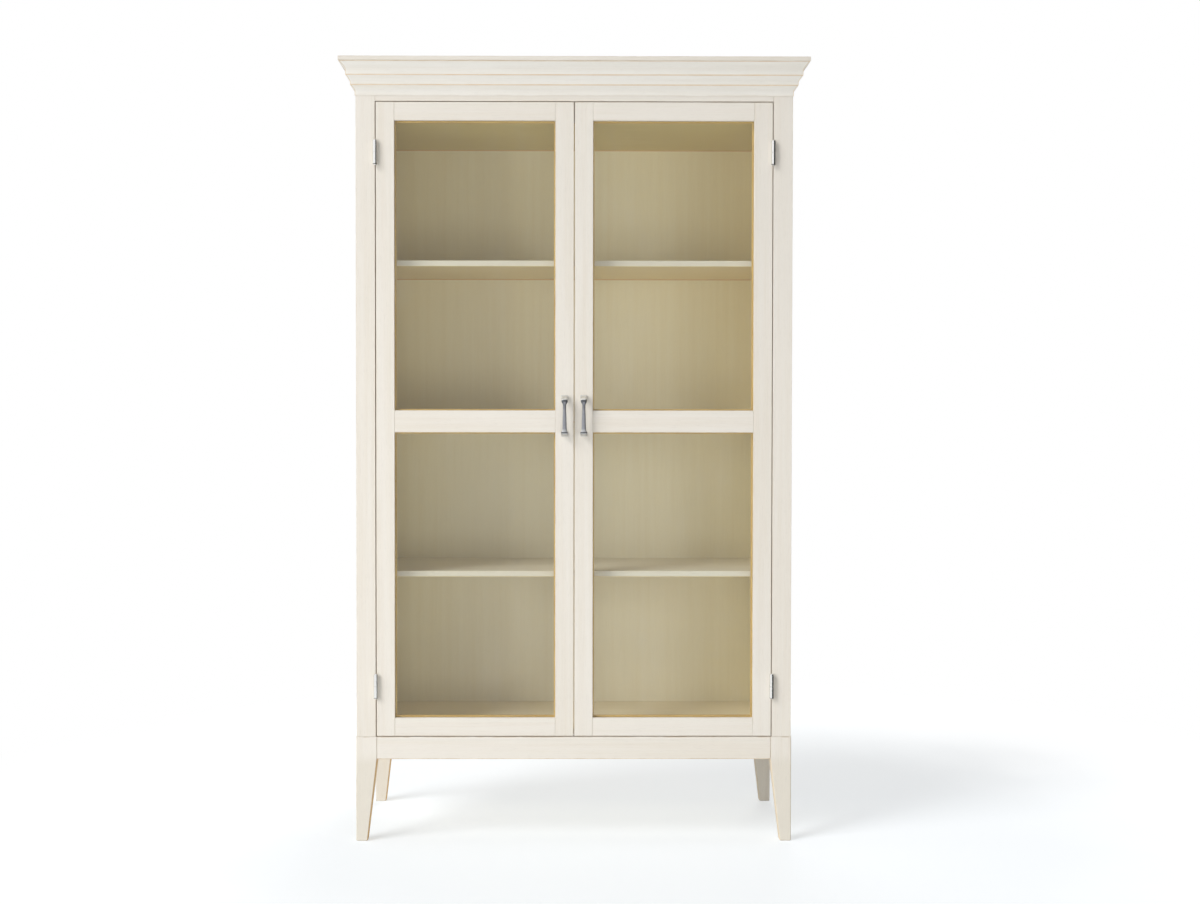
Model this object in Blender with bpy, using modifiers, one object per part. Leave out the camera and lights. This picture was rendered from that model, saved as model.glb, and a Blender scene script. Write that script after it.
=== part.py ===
"""Tall display cabinet: two glazed doors, three shelves, a stepped cornice and tapered legs.

Metres, +Z up. The front looks towards -Y, and the origin lies on the floor below the middle
of the whole cabinet. Each door hangs on an empty that stands on its hinge axis.
"""
import math

import bmesh
import bpy
from mathutils import Matrix, Vector

# Fits and small edges
FIT = 0.0003
EASE = 0.0004
CUT_PAST = 0.002
MERGE = 0.00001

# Whole cabinet
HEIGHT = 2.000
BODY_WIDTH = 1.115
BODY_DEPTH = 0.420

# Base
BASE_HEIGHT = 0.2692
BASE_PROUD = 0.0018
LEG_WIDTH = 0.054
LEG_DEPTH = 0.038
FOOT_WIDTH = 0.029
FOOT_DEPTH = 0.027
LEG_EASE = 0.0020
APRON_HEIGHT = 0.0576
APRON_THICKNESS = 0.022
APRON_TENON_LENGTH = 0.014
APRON_TENON_SHOULDER = 0.010

# Carcass boards
SIDE_THICKNESS = 0.018
FACE_STILE_WIDTH = 0.0492
FACE_THICKNESS = 0.022
FRIEZE_HEIGHT = 0.094
TOP_THICKNESS = 0.011
FLOOR_THICKNESS = 0.0135
CEILING_DROP = 0.0517
CEILING_THICKNESS = 0.018
STOP_RAIL_HEIGHT = 0.090
STOP_RAIL_THICKNESS = 0.018
STOP_CLEARANCE = 0.002
BACK_THICKNESS = 0.006
BACK_INSET = 0.012
BACK_REBATE_WIDTH = 0.009
HOUSING_DEPTH = 0.006
HOUSING_SHOULDER = 0.002

# Shelves
SHELF_NAMES = ("shelf_lower", "shelf_middle", "shelf_upper")
SHELF_RISE = 0.393
SHELF_DROP = 0.363
SHELF_THICKNESS = 0.015
SHELF_SETBACK = 0.050

# Cornice steps as overhangs and heights below the top board
CORNICE_OVERHANG = 0.039
COVE_TOP_OVERHANG = 0.0375
UPPER_STEP_OVERHANG = 0.0225
MIDDLE_STEP_OVERHANG = 0.0120
NECK_OVERHANG = 0.0015
UPPER_COVE_DROP = 0.018
UPPER_STEP_DROP = 0.014
MIDDLE_COVE_DROP = 0.015
MIDDLE_STEP_DROP = 0.008
LOWER_COVE_DROP = 0.012
NECK_DROP = 0.013
COVE_HOLLOW = 0.12
COVE_STEPS = 5

# Doors
DOOR_GAP = 0.002
DOOR_THICKNESS = 0.022
DOOR_FRAME_WIDTH = 0.047
MIDDLE_RAIL_HEIGHT = 0.056
MIDDLE_RAIL_RISE = 0.808
GLASS_LIP = 0.009
GLASS_THICKNESS = 0.004
GLASS_REBATE = 0.008
GLASS_PLAY = 0.001
GLASS_EASE = 0.0004
BEAD_SHOW = 0.0038
TENON_THICKNESS = 0.008
TENON_SETBACK = 0.007
TENON_LENGTH = 0.022
TENON_PANE_SHOULDER = 0.012
TENON_END_SHOULDER = 0.006
TENON_END_PLAY = 0.001

# Lift-off hinges
HINGE_INSET = 0.129
BARREL_RADIUS = 0.006
BARREL_LENGTH = 0.060
BARREL_SPLIT = 0.0008
BUTTON_RADIUS = 0.0042
BUTTON_TIP_RADIUS = 0.0030
BUTTON_HEIGHT = 0.0024
HINGE_PIN_RADIUS = 0.0025
LEAF_THICKNESS = 0.0016
LEAF_WIDTH = 0.018
LEAF_LET_IN = 0.0013
LEAF_NECK = 0.0022
LEAF_SCREW_SPREAD = 0.038

# Holes for the screws of leaves, strike plates and handles
SCREW_SHANK_RADIUS = 0.0016
SCREW_HEAD_RADIUS = 0.0032
LEAF_SCREW_LENGTH = 0.014
STRIKE_SCREW_LENGTH = 0.012
BOLT_RADIUS = 0.0020
BOLT_GRIP = 0.007

# Magnetic catches
CATCH_OFFSET = 0.085
MAGNET_RADIUS = 0.006
MAGNET_LENGTH = 0.012
STRIKE_WIDTH = 0.026
STRIKE_HEIGHT = 0.016
STRIKE_THICKNESS = 0.0012

# Bow handles
HANDLE_LENGTH = 0.106
HANDLE_RISE = 0.822
HANDLE_STANDOFF = 0.0245
HANDLE_FOOT_WIDTH = 0.0172
HANDLE_FOOT_HEIGHT = 0.012
HANDLE_PLATE = 0.0032
HANDLE_ARM_DEPTH = 0.0086
HANDLE_HEAD_WIDTH = 0.0152
HANDLE_HEAD_DROP = 0.0175
HANDLE_NECK_WIDTH = 0.0078
HANDLE_NECK_DROP = 0.0270
HANDLE_TAIL_WIDTH = 0.0112
HANDLE_TAIL_RISE = 0.0185
HANDLE_FLARE_WIDTH = 0.0168
HANDLE_FLARE_RISE = 0.0118
HANDLE_THICKNESS = 0.0070
HANDLE_ROUNDING = 0.0022
HANDLE_ARM_SHARES = ((0, 0, 0), (0.4, 0.12, 0.12), (0.8, 0.46, 0.48))
HANDLE_SPAN_STEPS = 3
HANDLE_CORNER_STEPS = 3

# Facets of round pieces
BARREL_SIDES = 16
ROUND_SIDES = 12
SCREW_SIDES = 8
SMOOTH_ANGLE = math.radians(35)

# Places that follow from the sizes above
FRONT = (CORNICE_OVERHANG - BODY_DEPTH) / 2
BACK = FRONT + BODY_DEPTH
HALF_WIDTH = BODY_WIDTH / 2
BASE_HALF = HALF_WIDTH + BASE_PROUD
SIDE_INNER = HALF_WIDTH - SIDE_THICKNESS
OPENING_HALF = HALF_WIDTH - FACE_STILE_WIDTH
CARCASS_BOTTOM = BASE_HEIGHT + FIT
CARCASS_TOP = HEIGHT - TOP_THICKNESS - FIT
APRON_BOTTOM = BASE_HEIGHT - APRON_HEIGHT
OPENING_TOP = CARCASS_TOP - FRIEZE_HEIGHT
FLOOR_TOP = CARCASS_BOTTOM + FLOOR_THICKNESS
CEILING_BOTTOM = OPENING_TOP - CEILING_DROP
SHELF_LOWEST = FLOOR_TOP + SHELF_RISE
SHELF_HIGHEST = CEILING_BOTTOM - SHELF_DROP
SHELF_PITCH = (SHELF_HIGHEST - SHELF_LOWEST) / (len(SHELF_NAMES) - 1)
BACK_PANEL_FRONT = BACK - BACK_INSET - BACK_THICKNESS
DOOR_BACK = FRONT + DOOR_THICKNESS
STOP_FRONT = max(DOOR_BACK, FRONT + FACE_THICKNESS) + STOP_CLEARANCE
DOOR_INNER = DOOR_GAP / 2
DOOR_OUTER = OPENING_HALF - DOOR_GAP
DOOR_BOTTOM = BASE_HEIGHT + DOOR_GAP
DOOR_TOP = OPENING_TOP - DOOR_GAP
PANE_INNER = DOOR_INNER + DOOR_FRAME_WIDTH
PANE_OUTER = DOOR_OUTER - DOOR_FRAME_WIDTH
MIDDLE_RAIL_CENTRE = DOOR_BOTTOM + MIDDLE_RAIL_RISE
MIDDLE_RAIL_BOTTOM = MIDDLE_RAIL_CENTRE - MIDDLE_RAIL_HEIGHT / 2
MIDDLE_RAIL_TOP = MIDDLE_RAIL_CENTRE + MIDDLE_RAIL_HEIGHT / 2
PANES = ((DOOR_BOTTOM + DOOR_FRAME_WIDTH, MIDDLE_RAIL_BOTTOM),
         (MIDDLE_RAIL_TOP, DOOR_TOP - DOOR_FRAME_WIDTH))
GLASS_FRONT = FRONT + GLASS_LIP + FIT
HINGE_X = OPENING_HALF - DOOR_GAP / 2
HINGE_Y = FRONT - BARREL_RADIUS - FIT
HINGE_HEIGHTS = {"lower": DOOR_BOTTOM + HINGE_INSET, "upper": DOOR_TOP - HINGE_INSET}
LEAF_OUTER = DOOR_GAP / 2 + LEAF_LET_IN - FIT
LEAF_INNER = LEAF_OUTER - LEAF_THICKNESS
BORE_RADIUS = HINGE_PIN_RADIUS + FIT
HANDLE_X = DOOR_INNER + DOOR_FRAME_WIDTH / 2
HANDLE_CENTRE = DOOR_BOTTOM + HANDLE_RISE
HANDLE_FOOT_REACH = (HANDLE_LENGTH - HANDLE_FOOT_HEIGHT) / 2
CATCH_HEIGHT = DOOR_TOP - DOOR_FRAME_WIDTH / 2
SIDES = {"left": -1, "right": 1}


# Scene, collections and materials

def clear_scene():
    """Remove whatever the open file holds."""
    for obj in list(bpy.data.objects):
        bpy.data.objects.remove(obj)


def new_collection(name):
    """A collection linked to the scene."""
    collection = bpy.data.collections.new(name)
    bpy.context.scene.collection.children.link(collection)
    return collection


def finish(name, colour, roughness, metallic=0.0, alpha=1.0):
    """A plain Principled material."""
    material = bpy.data.materials.new(name)
    material.use_nodes = True
    shader = material.node_tree.nodes["Principled BSDF"]
    shader.inputs["Base Color"].default_value = (*colour, 1.0)
    shader.inputs["Roughness"].default_value = roughness
    shader.inputs["Metallic"].default_value = metallic
    shader.inputs["Alpha"].default_value = alpha
    material.diffuse_color = (*colour, alpha)
    return material


clear_scene()
CABINET = new_collection("display_cabinet")
CUTTERS = new_collection("cutters")
CREAM = finish("cream_washed_wood", (0.80, 0.74, 0.65), 0.55)
LINING = finish("pale_interior_wood", (0.72, 0.67, 0.53), 0.60)
GLASS = finish("clear_glass", (0.80, 0.84, 0.76), 0.05, alpha=0.25)
STEEL = finish("brushed_nickel", (0.62, 0.62, 0.62), 0.30, metallic=1.0)
PEWTER = finish("cast_pewter", (0.36, 0.37, 0.39), 0.42, metallic=1.0)


# Building helpers

def span(side, near, far):
    """Low and high X of a stretch from near to far on one side of the middle."""
    return tuple(sorted((side * near, side * far)))


def add_box(bm, x, y, z):
    """Add a box given by its low and high value on each axis."""
    size = (x[1] - x[0], y[1] - y[0], z[1] - z[0])
    centre = ((x[0] + x[1]) / 2, (y[0] + y[1]) / 2, (z[0] + z[1]) / 2)
    matrix = Matrix.Translation(centre) @ Matrix.Diagonal((*size, 1.0))
    return bmesh.ops.create_cube(bm, size=1.0, matrix=matrix)["verts"]


def aim(start, direction):
    """Matrix that takes +Z at the origin to a direction at a start point."""
    turn = Vector((0, 0, 1)).rotation_difference(Vector(direction))
    return Matrix.Translation(start) @ turn.to_matrix().to_4x4()


def add_cylinder(bm, start, direction, length, radius, sides=SCREW_SIDES):
    """Add a cylinder that begins at start and runs along direction."""
    matrix = aim(start, direction) @ Matrix.Translation((0, 0, length / 2))
    bmesh.ops.create_cone(bm, cap_ends=True, segments=sides, radius1=radius, radius2=radius,
                          depth=length, matrix=matrix)


def add_mesh(bm, mesh, matrix):
    """Add a copy of a mesh, moved by a matrix."""
    before = len(bm.verts)
    bm.from_mesh(mesh)
    bm.verts.ensure_lookup_table()
    bmesh.ops.transform(bm, matrix=matrix, verts=bm.verts[before:])


def from_bmesh(name, bm, material=None, origin=(0, 0, 0), parent=None, smooth=False):
    """Make an object whose origin lies at a chosen point, and hang it on its parent."""
    bmesh.ops.translate(bm, vec=-Vector(origin), verts=bm.verts)
    mesh = bpy.data.meshes.new(name)
    bm.to_mesh(mesh)
    bm.free()
    if smooth:
        mesh.shade_smooth()
        mesh.set_sharp_from_angle(angle=SMOOTH_ANGLE)
    obj = bpy.data.objects.new(name, mesh)
    obj.location = origin
    if parent:
        obj.parent = parent
        obj.location -= parent.location
    if material:
        mesh.materials.append(material)
        CABINET.objects.link(obj)
    else:
        CUTTERS.objects.link(obj)
        obj.hide_render = True
        obj.display_type = "WIRE"
    return obj


def ease(obj, width=EASE, limit="NONE"):
    """Break the edges of a board."""
    bevel = obj.modifiers.new("eased_edges", "BEVEL")
    bevel.width = width
    bevel.segments = 1
    bevel.limit_method = limit


def combine(obj, other, operation="DIFFERENCE"):
    """Cut an object with another one, or join the two."""
    boolean = obj.modifiers.new(operation.lower(), "BOOLEAN")
    boolean.object = other
    boolean.operation = operation
    boolean.solver = "EXACT"


def board(name, x, y, z, material=CREAM, parent=None, width=EASE):
    """A board with eased edges and its origin at its middle."""
    bm = bmesh.new()
    add_box(bm, x, y, z)
    middle = [(low + high) / 2 for low, high in (x, y, z)]
    obj = from_bmesh(name, bm, material, middle, parent)
    ease(obj, width)
    return obj


def turned_mesh(name, profile, sides):
    """Turn a profile of (radius, height) points, listed top to bottom, about +Z."""
    mesh = bpy.data.meshes.new(name)
    closed = profile[0][0] > 0
    edges = [(i, i + 1) for i in range(len(profile) - 1)]
    if closed:
        edges.append((len(profile) - 1, 0))
    mesh.from_pydata([(radius, 0, height) for radius, height in profile], edges, [])
    guide = bpy.data.objects.new(name, mesh)
    CUTTERS.objects.link(guide)
    screw = guide.modifiers.new("turning", "SCREW")
    screw.steps = sides
    screw.render_steps = sides
    screw.use_merge_vertices = True
    screw.merge_threshold = MERGE
    evaluated = guide.evaluated_get(bpy.context.evaluated_depsgraph_get())
    turned = bpy.data.meshes.new_from_object(evaluated)
    bpy.data.objects.remove(guide)
    return turned


def sunk_hole(length):
    """Countersunk clearance hole for a screw whose head's face lies at the origin."""
    sink = SCREW_HEAD_RADIUS - SCREW_SHANK_RADIUS
    shank = SCREW_SHANK_RADIUS + FIT
    return turned_mesh("sunk_hole", [
        (0, CUT_PAST), (SCREW_HEAD_RADIUS + FIT, CUT_PAST), (SCREW_HEAD_RADIUS + FIT, -FIT),
        (shank, -sink - FIT), (shank, -length - FIT), (0, -length - FIT)], SCREW_SIDES)


# Base

def make_leg(name, side, end):
    """Square post, tapered below the aprons on its two inner faces."""
    near_y, far_y = (FRONT, FRONT + LEG_DEPTH) if end < 0 else (BACK, BACK - LEG_DEPTH)
    x = span(side, BASE_HALF - LEG_WIDTH, BASE_HALF)
    y = tuple(sorted((near_y, far_y)))
    bm = bmesh.new()
    add_box(bm, x, y, (0, BASE_HEIGHT))
    bmesh.ops.bisect_plane(bm, geom=bm.verts[:] + bm.edges[:] + bm.faces[:],
                           plane_co=(0, 0, APRON_BOTTOM), plane_no=(0, 0, 1))
    inner_x = side * (BASE_HALF - LEG_WIDTH)
    for vert in bm.verts:
        if vert.co.z > APRON_BOTTOM - CUT_PAST:
            continue
        if abs(vert.co.x - inner_x) < FIT:
            vert.co.x = side * (BASE_HALF - FOOT_WIDTH)
        if abs(vert.co.y - far_y) < FIT:
            vert.co.y = near_y - end * FOOT_DEPTH
    weight = bm.edges.layers.float.new("bevel_weight_edge")
    for edge in bm.edges:
        low, high = sorted(vert.co.z for vert in edge.verts)
        edge[weight] = float(high - low > CUT_PAST or high < CUT_PAST)
    origin = (side * BASE_HALF, near_y, 0)
    obj = from_bmesh(name, bm, CREAM, origin)
    ease(obj, LEG_EASE, "WEIGHT")
    cutter = bmesh.new()
    apron_x, apron_y = apron_mortises(side, end)
    for box in (apron_x, apron_y):
        add_box(cutter, *box)
    combine(obj, from_bmesh(name + "_mortises", cutter))
    return obj


def tenon_height():
    """Low and high Z of the aprons' tenons."""
    return APRON_BOTTOM + APRON_TENON_SHOULDER, BASE_HEIGHT - APRON_TENON_SHOULDER


def apron_face(end):
    """Low and high Y of the front or rear apron."""
    if end < 0:
        return FRONT, FRONT + APRON_THICKNESS
    return BACK - APRON_THICKNESS, BACK


def tenon_slice(low, high):
    """Middle part of an apron's thickness, as wide as its tenon."""
    middle = (low + high) / 2
    return middle - TENON_THICKNESS / 2, middle + TENON_THICKNESS / 2


def grow(pair, amount=FIT):
    """Widen a low and high pair."""
    return pair[0] - amount, pair[1] + amount


def apron_mortises(side, end):
    """Boxes of the two mortises in one leg: for the long apron and for the side apron."""
    reach = APRON_TENON_LENGTH + TENON_END_PLAY
    leg_inner = BASE_HALF - LEG_WIDTH
    long_box = (span(side, leg_inner - CUT_PAST, leg_inner + reach),
                grow(tenon_slice(*apron_face(end))), grow(tenon_height()))
    edge = FRONT + LEG_DEPTH if end < 0 else BACK - LEG_DEPTH
    side_y = tuple(sorted((edge - end * CUT_PAST, edge + end * reach)))
    side_slice = tenon_slice(BASE_HALF - APRON_THICKNESS, BASE_HALF)
    side_box = (span(side, *grow(side_slice)), side_y, grow(tenon_height()))
    return long_box, side_box


def make_long_apron(name, end):
    """Front or rear apron with a tenon at each end."""
    half = BASE_HALF - LEG_WIDTH - FIT
    y = apron_face(end)
    obj = board(name, (-half, half), y, (APRON_BOTTOM, BASE_HEIGHT))
    bm = bmesh.new()
    tip = half + APRON_TENON_LENGTH
    add_box(bm, (-tip, tip), tenon_slice(*y), tenon_height())
    combine(obj, from_bmesh(name + "_tenons", bm), "UNION")
    return obj


def make_side_apron(name, side):
    """Side apron with a tenon at each end."""
    y = (FRONT + LEG_DEPTH + FIT, BACK - LEG_DEPTH - FIT)
    x = span(side, BASE_HALF - APRON_THICKNESS, BASE_HALF)
    obj = board(name, x, y, (APRON_BOTTOM, BASE_HEIGHT))
    bm = bmesh.new()
    add_box(bm, tenon_slice(*x), grow(y, APRON_TENON_LENGTH), tenon_height())
    combine(obj, from_bmesh(name + "_tenons", bm), "UNION")
    return obj


def make_base():
    """Legs and aprons."""
    for end, end_name in ((-1, "front"), (1, "rear")):
        for side_name, side in SIDES.items():
            make_leg(f"leg_{end_name}_{side_name}", side, end)
        make_long_apron(f"apron_{end_name}", end)
    for side_name, side in SIDES.items():
        make_side_apron(f"apron_{side_name}", side)


# Carcass

def shelf_heights():
    """Underside of each shelf, evenly spaced from the lowest to the highest."""
    return [SHELF_LOWEST + SHELF_PITCH * i for i in range(len(SHELF_NAMES))]


def housed_boards():
    """Each board let into the side panels: name, low Z, high Z and front Y."""
    boards = [("floor_panel", CARCASS_BOTTOM, FLOOR_TOP, STOP_FRONT)]
    for name, underside in zip(SHELF_NAMES, shelf_heights()):
        boards.append((name, underside, underside + SHELF_THICKNESS, FRONT + SHELF_SETBACK))
    boards.append(("ceiling_panel", CEILING_BOTTOM, CEILING_BOTTOM + CEILING_THICKNESS,
                   STOP_FRONT + STOP_RAIL_THICKNESS + FIT))
    return boards


def make_housed_boards():
    """Floor, shelves and ceiling, whose tongues slide into the side panels from the back."""
    half = SIDE_INNER + HOUSING_DEPTH
    for name, low, high, front in housed_boards():
        panel = board(name, (-half, half), (front, BACK_PANEL_FRONT - FIT), (low, high), LINING)
        shoulders = bmesh.new()
        for side in SIDES.values():
            for rebate in ((low - CUT_PAST, low + HOUSING_SHOULDER),
                           (high - HOUSING_SHOULDER, high + CUT_PAST)):
                add_box(shoulders, span(side, SIDE_INNER - FIT, half + CUT_PAST),
                        (front - CUT_PAST, BACK_PANEL_FRONT + CUT_PAST), rebate)
        combine(panel, from_bmesh(name + "_shoulders", shoulders))


def make_side_panel(side_name, side):
    """Side panel with a rebate for the back and a housing for each board."""
    panel = board(f"side_panel_{side_name}", span(side, SIDE_INNER, HALF_WIDTH),
                  (FRONT + FACE_THICKNESS + FIT, BACK), (CARCASS_BOTTOM, CARCASS_TOP))
    rebate = bmesh.new()
    add_box(rebate, span(side, SIDE_INNER - CUT_PAST, SIDE_INNER + BACK_REBATE_WIDTH),
            (BACK_PANEL_FRONT - FIT, BACK + CUT_PAST),
            (CARCASS_BOTTOM - CUT_PAST, CARCASS_TOP + CUT_PAST))
    housings = bmesh.new()
    for _, low, high, front in housed_boards():
        add_box(housings, span(side, SIDE_INNER - CUT_PAST, SIDE_INNER + HOUSING_DEPTH + FIT),
                (front - FIT, BACK_PANEL_FRONT),
                grow((low + HOUSING_SHOULDER, high - HOUSING_SHOULDER)))
    combine(panel, from_bmesh(panel.name + "_rebate", rebate))
    combine(panel, from_bmesh(panel.name + "_housings", housings))


def make_back():
    """Back panel in the side panels' rebates."""
    half = SIDE_INNER + BACK_REBATE_WIDTH - FIT
    board("back_panel", (-half, half), (BACK_PANEL_FRONT, BACK_PANEL_FRONT + BACK_THICKNESS),
          (CARCASS_BOTTOM, CARCASS_TOP), LINING)


def make_stop_rail():
    """Rail behind the frieze that the doors close against, with the two magnets in it."""
    half = SIDE_INNER - FIT
    rail = board("door_stop_rail", (-half, half), (STOP_FRONT, STOP_FRONT + STOP_RAIL_THICKNESS),
                 (CEILING_BOTTOM, CEILING_BOTTOM + STOP_RAIL_HEIGHT), LINING)
    bores = bmesh.new()
    for side_name, side in SIDES.items():
        face = Vector((side * CATCH_OFFSET, STOP_FRONT, CATCH_HEIGHT))
        add_cylinder(bores, face - Vector((0, CUT_PAST, 0)), (0, 1, 0),
                     CUT_PAST + MAGNET_LENGTH + FIT, MAGNET_RADIUS + FIT, ROUND_SIDES)
        magnet = bmesh.new()
        add_cylinder(magnet, face, (0, 1, 0), MAGNET_LENGTH, MAGNET_RADIUS, ROUND_SIDES)
        from_bmesh(f"{side_name}_catch_magnet", magnet, STEEL, face, smooth=True)
    combine(rail, from_bmesh("magnet_bores", bores))


def make_face_stile(side_name, side):
    """Face-frame stile with gains and pilot holes for the fixed hinge leaves."""
    stile = board(f"face_stile_{side_name}", span(side, OPENING_HALF, HALF_WIDTH),
                  (FRONT, FRONT + FACE_THICKNESS), (CARCASS_BOTTOM, CARCASS_TOP))
    cut_for_leaves(stile, side, 1)


def make_carcass():
    """Every fixed board between the base and the cornice."""
    for side_name, side in SIDES.items():
        make_side_panel(side_name, side)
        make_face_stile(side_name, side)
    half = OPENING_HALF - FIT
    board("frieze_rail", (-half, half), (FRONT, FRONT + FACE_THICKNESS), (OPENING_TOP, CARCASS_TOP))
    make_housed_boards()
    make_stop_rail()
    make_back()


# Cornice

def cove(start, end):
    """Points after start on a shallow hollow curve to end."""
    start, end = Vector(start), Vector(end)
    chord = end - start
    inward = Vector((chord.y, -chord.x)) * COVE_HOLLOW
    points = []
    for step in range(1, COVE_STEPS + 1):
        share = step / COVE_STEPS
        points.append(start + chord * share + inward * 4 * share * (1 - share))
    return points


def cornice_profile():
    """Closed outline of the moulding as (overhang, height) points."""
    z = CARCASS_TOP
    points = [Vector((FIT, z)), Vector((COVE_TOP_OVERHANG, z))]
    steps = ((UPPER_STEP_OVERHANG, UPPER_COVE_DROP, UPPER_STEP_DROP),
             (MIDDLE_STEP_OVERHANG, MIDDLE_COVE_DROP, MIDDLE_STEP_DROP),
             (NECK_OVERHANG, LOWER_COVE_DROP, NECK_DROP))
    for overhang, cove_drop, step_drop in steps:
        z -= cove_drop
        points += cove(points[-1], (overhang, z))
        z -= step_drop
        points.append(Vector((overhang, z)))
    points.append(Vector((FIT, z)))
    return points


def mitre_cut(bm, point, normal):
    """Saw off what lies beyond an upright plane, and close the cut."""
    cut = bmesh.ops.bisect_plane(bm, geom=bm.verts[:] + bm.edges[:] + bm.faces[:],
                                 plane_co=point, plane_no=normal, clear_outer=True)
    edges = [item for item in cut["geom_cut"] if isinstance(item, bmesh.types.BMEdge)]
    bmesh.ops.holes_fill(bm, edges=edges)


def make_moulding(name, outline, run, mitres):
    """Run an outline along a straight line and mitre it with planes of (point, normal)."""
    bm = bmesh.new()
    face = bm.faces.new([bm.verts.new(point) for point in outline])
    extruded = bmesh.ops.extrude_face_region(bm, geom=[face])["geom"]
    moved = [item for item in extruded if isinstance(item, bmesh.types.BMVert)]
    bmesh.ops.translate(bm, vec=run, verts=moved)
    for point, normal in mitres:
        mitre_cut(bm, point, normal)
    bmesh.ops.recalc_face_normals(bm, faces=bm.faces)
    from_bmesh(name, bm, CREAM, (0, FRONT, CARCASS_TOP), smooth=True)


def make_cornice():
    """Three mitred mouldings under a flat top board."""
    profile = cornice_profile()
    half = HALF_WIDTH + CORNICE_OVERHANG
    front = [(-half, FRONT - over, z) for over, z in profile]
    mitres = [((side * HALF_WIDTH, FRONT, 0), (side, 1, 0)) for side in SIDES.values()]
    make_moulding("cornice_front", front, (2 * half, 0, 0), mitres)
    for side_name, side in SIDES.items():
        outline = [(side * (HALF_WIDTH + over), BACK, z) for over, z in profile]
        mitre = ((side * HALF_WIDTH, FRONT + 2 * FIT, 0), (-side, -1, 0))
        make_moulding(f"cornice_{side_name}", outline,
                      (0, FRONT - CORNICE_OVERHANG - BACK, 0), [mitre])
    board("top_board", (-half, half), (FRONT - CORNICE_OVERHANG, BACK),
          (HEIGHT - TOP_THICKNESS, HEIGHT))


# Hinges

def leaf_screw_heights(centre):
    """Heights of the two screws in one leaf."""
    return centre - LEAF_SCREW_SPREAD / 2, centre + LEAF_SCREW_SPREAD / 2


def leaf_screw_point(side, hand, height):
    """Middle of a leaf screw's head; hand is 1 on the frame's leaf and -1 on the door's."""
    x = side * (HINGE_X + hand * LEAF_INNER)
    return Vector((x, FRONT + LEAF_WIDTH / 2, height))


def cut_for_leaves(stile, side, hand, parent=None):
    """Cut the shallow recesses and pilot holes for one side's hinge leaves."""
    gains = bmesh.new()
    holes = bmesh.new()
    near = HINGE_X + hand * (DOOR_GAP / 2 - CUT_PAST / 2)
    far = HINGE_X + hand * (LEAF_OUTER + FIT)
    for centre in HINGE_HEIGHTS.values():
        add_box(gains, span(side, near, far), (FRONT - CUT_PAST, FRONT + LEAF_WIDTH + FIT),
                grow((centre - BARREL_LENGTH / 2, centre + BARREL_LENGTH / 2)))
        for height in leaf_screw_heights(centre):
            add_cylinder(holes, leaf_screw_point(side, hand, height), (side * hand, 0, 0),
                         LEAF_SCREW_LENGTH + FIT, SCREW_SHANK_RADIUS + FIT)
    combine(stile, from_bmesh(stile.name + "_gains", gains, parent=parent))
    combine(stile, from_bmesh(stile.name + "_pilot_holes", holes, parent=parent))


def knuckle_profile(hand):
    """Profile of a knuckle about its hinge's middle: open below, or closed by a button."""
    half = BARREL_LENGTH / 2
    split = BARREL_SPLIT / 2
    if hand > 0:
        return [(BORE_RADIUS, -split), (BARREL_RADIUS, -split), (BARREL_RADIUS, -half),
                (BORE_RADIUS, -half)]
    return [(0, half + BUTTON_HEIGHT), (BUTTON_TIP_RADIUS, half + BUTTON_HEIGHT),
            (BUTTON_RADIUS, half + BUTTON_HEIGHT / 2), (BUTTON_RADIUS, half),
            (BARREL_RADIUS, half), (BARREL_RADIUS, split), (BORE_RADIUS, split),
            (BORE_RADIUS, half - BUTTON_HEIGHT), (0, half - BUTTON_HEIGHT)]


def make_leaf(name, side, hand, centre, parent=None):
    """One hinge leaf with its knuckle; the frame's has the lower, the door's the upper."""
    half = BARREL_LENGTH / 2
    split = BARREL_SPLIT / 2
    origin = (side * HINGE_X, HINGE_Y, centre)
    barrel = bmesh.new()
    add_mesh(barrel, turned_mesh("knuckle", knuckle_profile(hand), BARREL_SIDES),
             Matrix.Translation(origin))
    leaf = from_bmesh(name, barrel, STEEL, origin, parent, smooth=True)
    x = span(side, HINGE_X + hand * LEAF_INNER, HINGE_X + hand * LEAF_OUTER)
    neck_z = sorted((centre - hand * half, centre - hand * split))
    neck = bmesh.new()
    add_box(neck, x, (FRONT - LEAF_NECK, FRONT + LEAF_WIDTH / 2), neck_z)
    combine(leaf, from_bmesh(name + "_neck", neck, parent=parent), "UNION")
    plate = bmesh.new()
    add_box(plate, x, (FRONT + FIT, FRONT + LEAF_WIDTH), (centre - half, centre + half))
    combine(leaf, from_bmesh(name + "_plate", plate, parent=parent), "UNION")
    holes = bmesh.new()
    hole = sunk_hole(LEAF_THICKNESS + CUT_PAST)
    for height in leaf_screw_heights(centre):
        point = leaf_screw_point(side, hand, height)
        add_mesh(holes, hole, aim(point, (-side * hand, 0, 0)))
    combine(leaf, from_bmesh(name + "_holes", holes, parent=parent))


def make_hinge_pin(name, side, centre):
    """Pin that stands in the lower knuckle, with a button below."""
    half = BARREL_LENGTH / 2
    top = half - BUTTON_HEIGHT - FIT
    foot = -half - FIT
    origin = (side * HINGE_X, HINGE_Y, centre)
    bm = bmesh.new()
    add_mesh(bm, turned_mesh("hinge_pin", [
        (0, top), (HINGE_PIN_RADIUS, top), (HINGE_PIN_RADIUS, foot), (BUTTON_RADIUS, foot),
        (BUTTON_RADIUS, foot - BUTTON_HEIGHT / 2), (BUTTON_TIP_RADIUS, foot - BUTTON_HEIGHT),
        (0, foot - BUTTON_HEIGHT)], BARREL_SIDES), Matrix.Translation(origin))
    from_bmesh(name, bm, STEEL, origin, smooth=True)


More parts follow.
